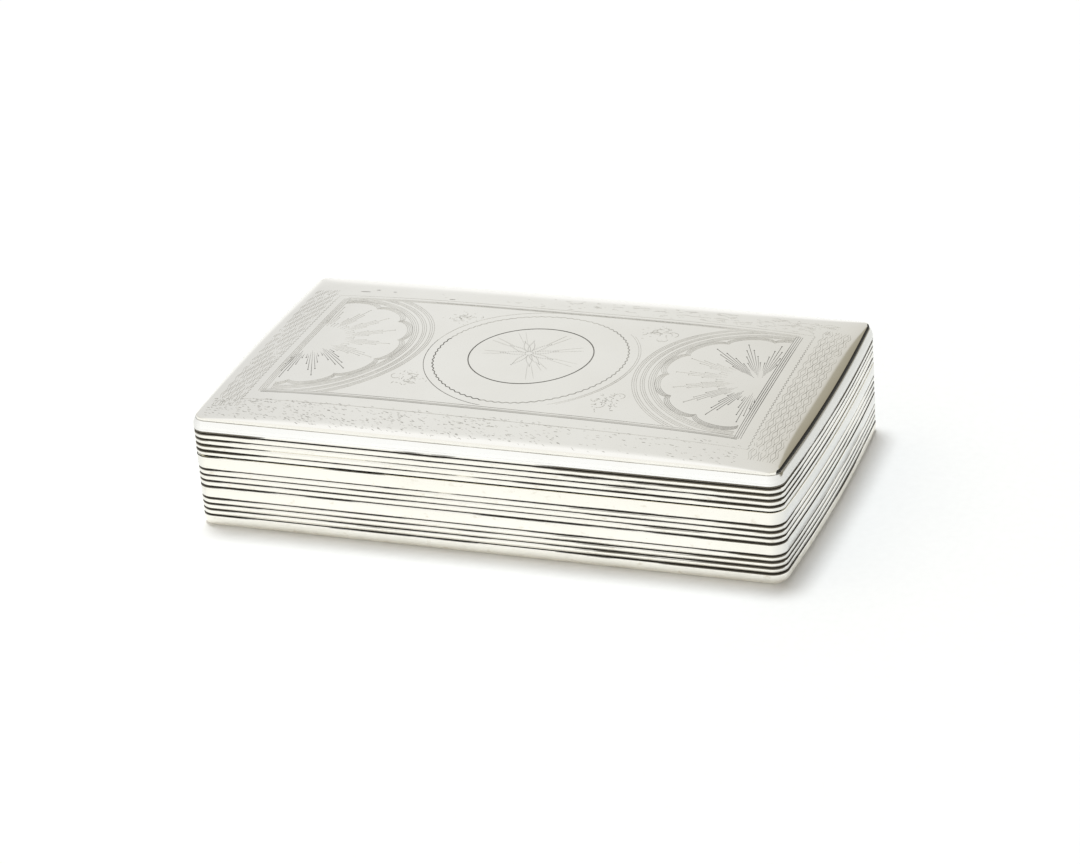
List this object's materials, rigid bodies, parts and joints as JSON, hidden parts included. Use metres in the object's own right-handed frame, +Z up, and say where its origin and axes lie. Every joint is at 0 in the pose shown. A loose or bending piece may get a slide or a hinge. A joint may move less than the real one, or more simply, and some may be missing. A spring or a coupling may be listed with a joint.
{
  "type": "snuff box",
  "caption": "Rectangular pocket box with reeded sides, rounded corners, a cushion-domed engraved lid and a flush barrel hinge along the back.",
  "frame": {"origin": "on the floor under the middle of the box", "axes": "+X along the length, +Y from the front to the hinge at the back, +Z up"},
  "size_m": [0.0866, 0.0486, 0.0188],
  "materials": {
    "polished_silver": "polished silver, soft hand wear, dark tarnish in the grooves",
    "engraved_lid": "satin-worn silver with fine line engraving",
    "bezel_silver": "plain silver sheet",
    "hinge_silver": "silver tube and strip, slightly dull",
    "pin_metal": "drawn wire"
  },
  "bodies": {
    "body": {"base_pan": "polished_silver", "body_wall": "polished_silver", "body_bezel": "bezel_silver", "body_hinge_bearer": "hinge_silver", "body_knuckle_1": "hinge_silver", "body_knuckle_2": "hinge_silver", "body_knuckle_3": "hinge_silver", "body_knuckle_4": "hinge_silver", "body_knuckle_5": "hinge_silver", "hinge_pin": "pin_metal", "hinge_plug_left": "hinge_silver", "hinge_plug_right": "hinge_silver"},
    "lid": {"lid_rim": "polished_silver", "lid_top": "engraved_lid", "lid_hinge_bearer": "hinge_silver", "lid_knuckle_1": "hinge_silver", "lid_knuckle_2": "hinge_silver", "lid_knuckle_3": "hinge_silver", "lid_knuckle_4": "hinge_silver"}
  },
  "joints": [
    {"name": "lid_hinge", "type": "hinge", "parent": "body", "child": "lid", "pos_m": [0, 0.02315, 0.0111], "axis": [-1, 0, 0], "range_deg": [0, 95]}
  ]
}
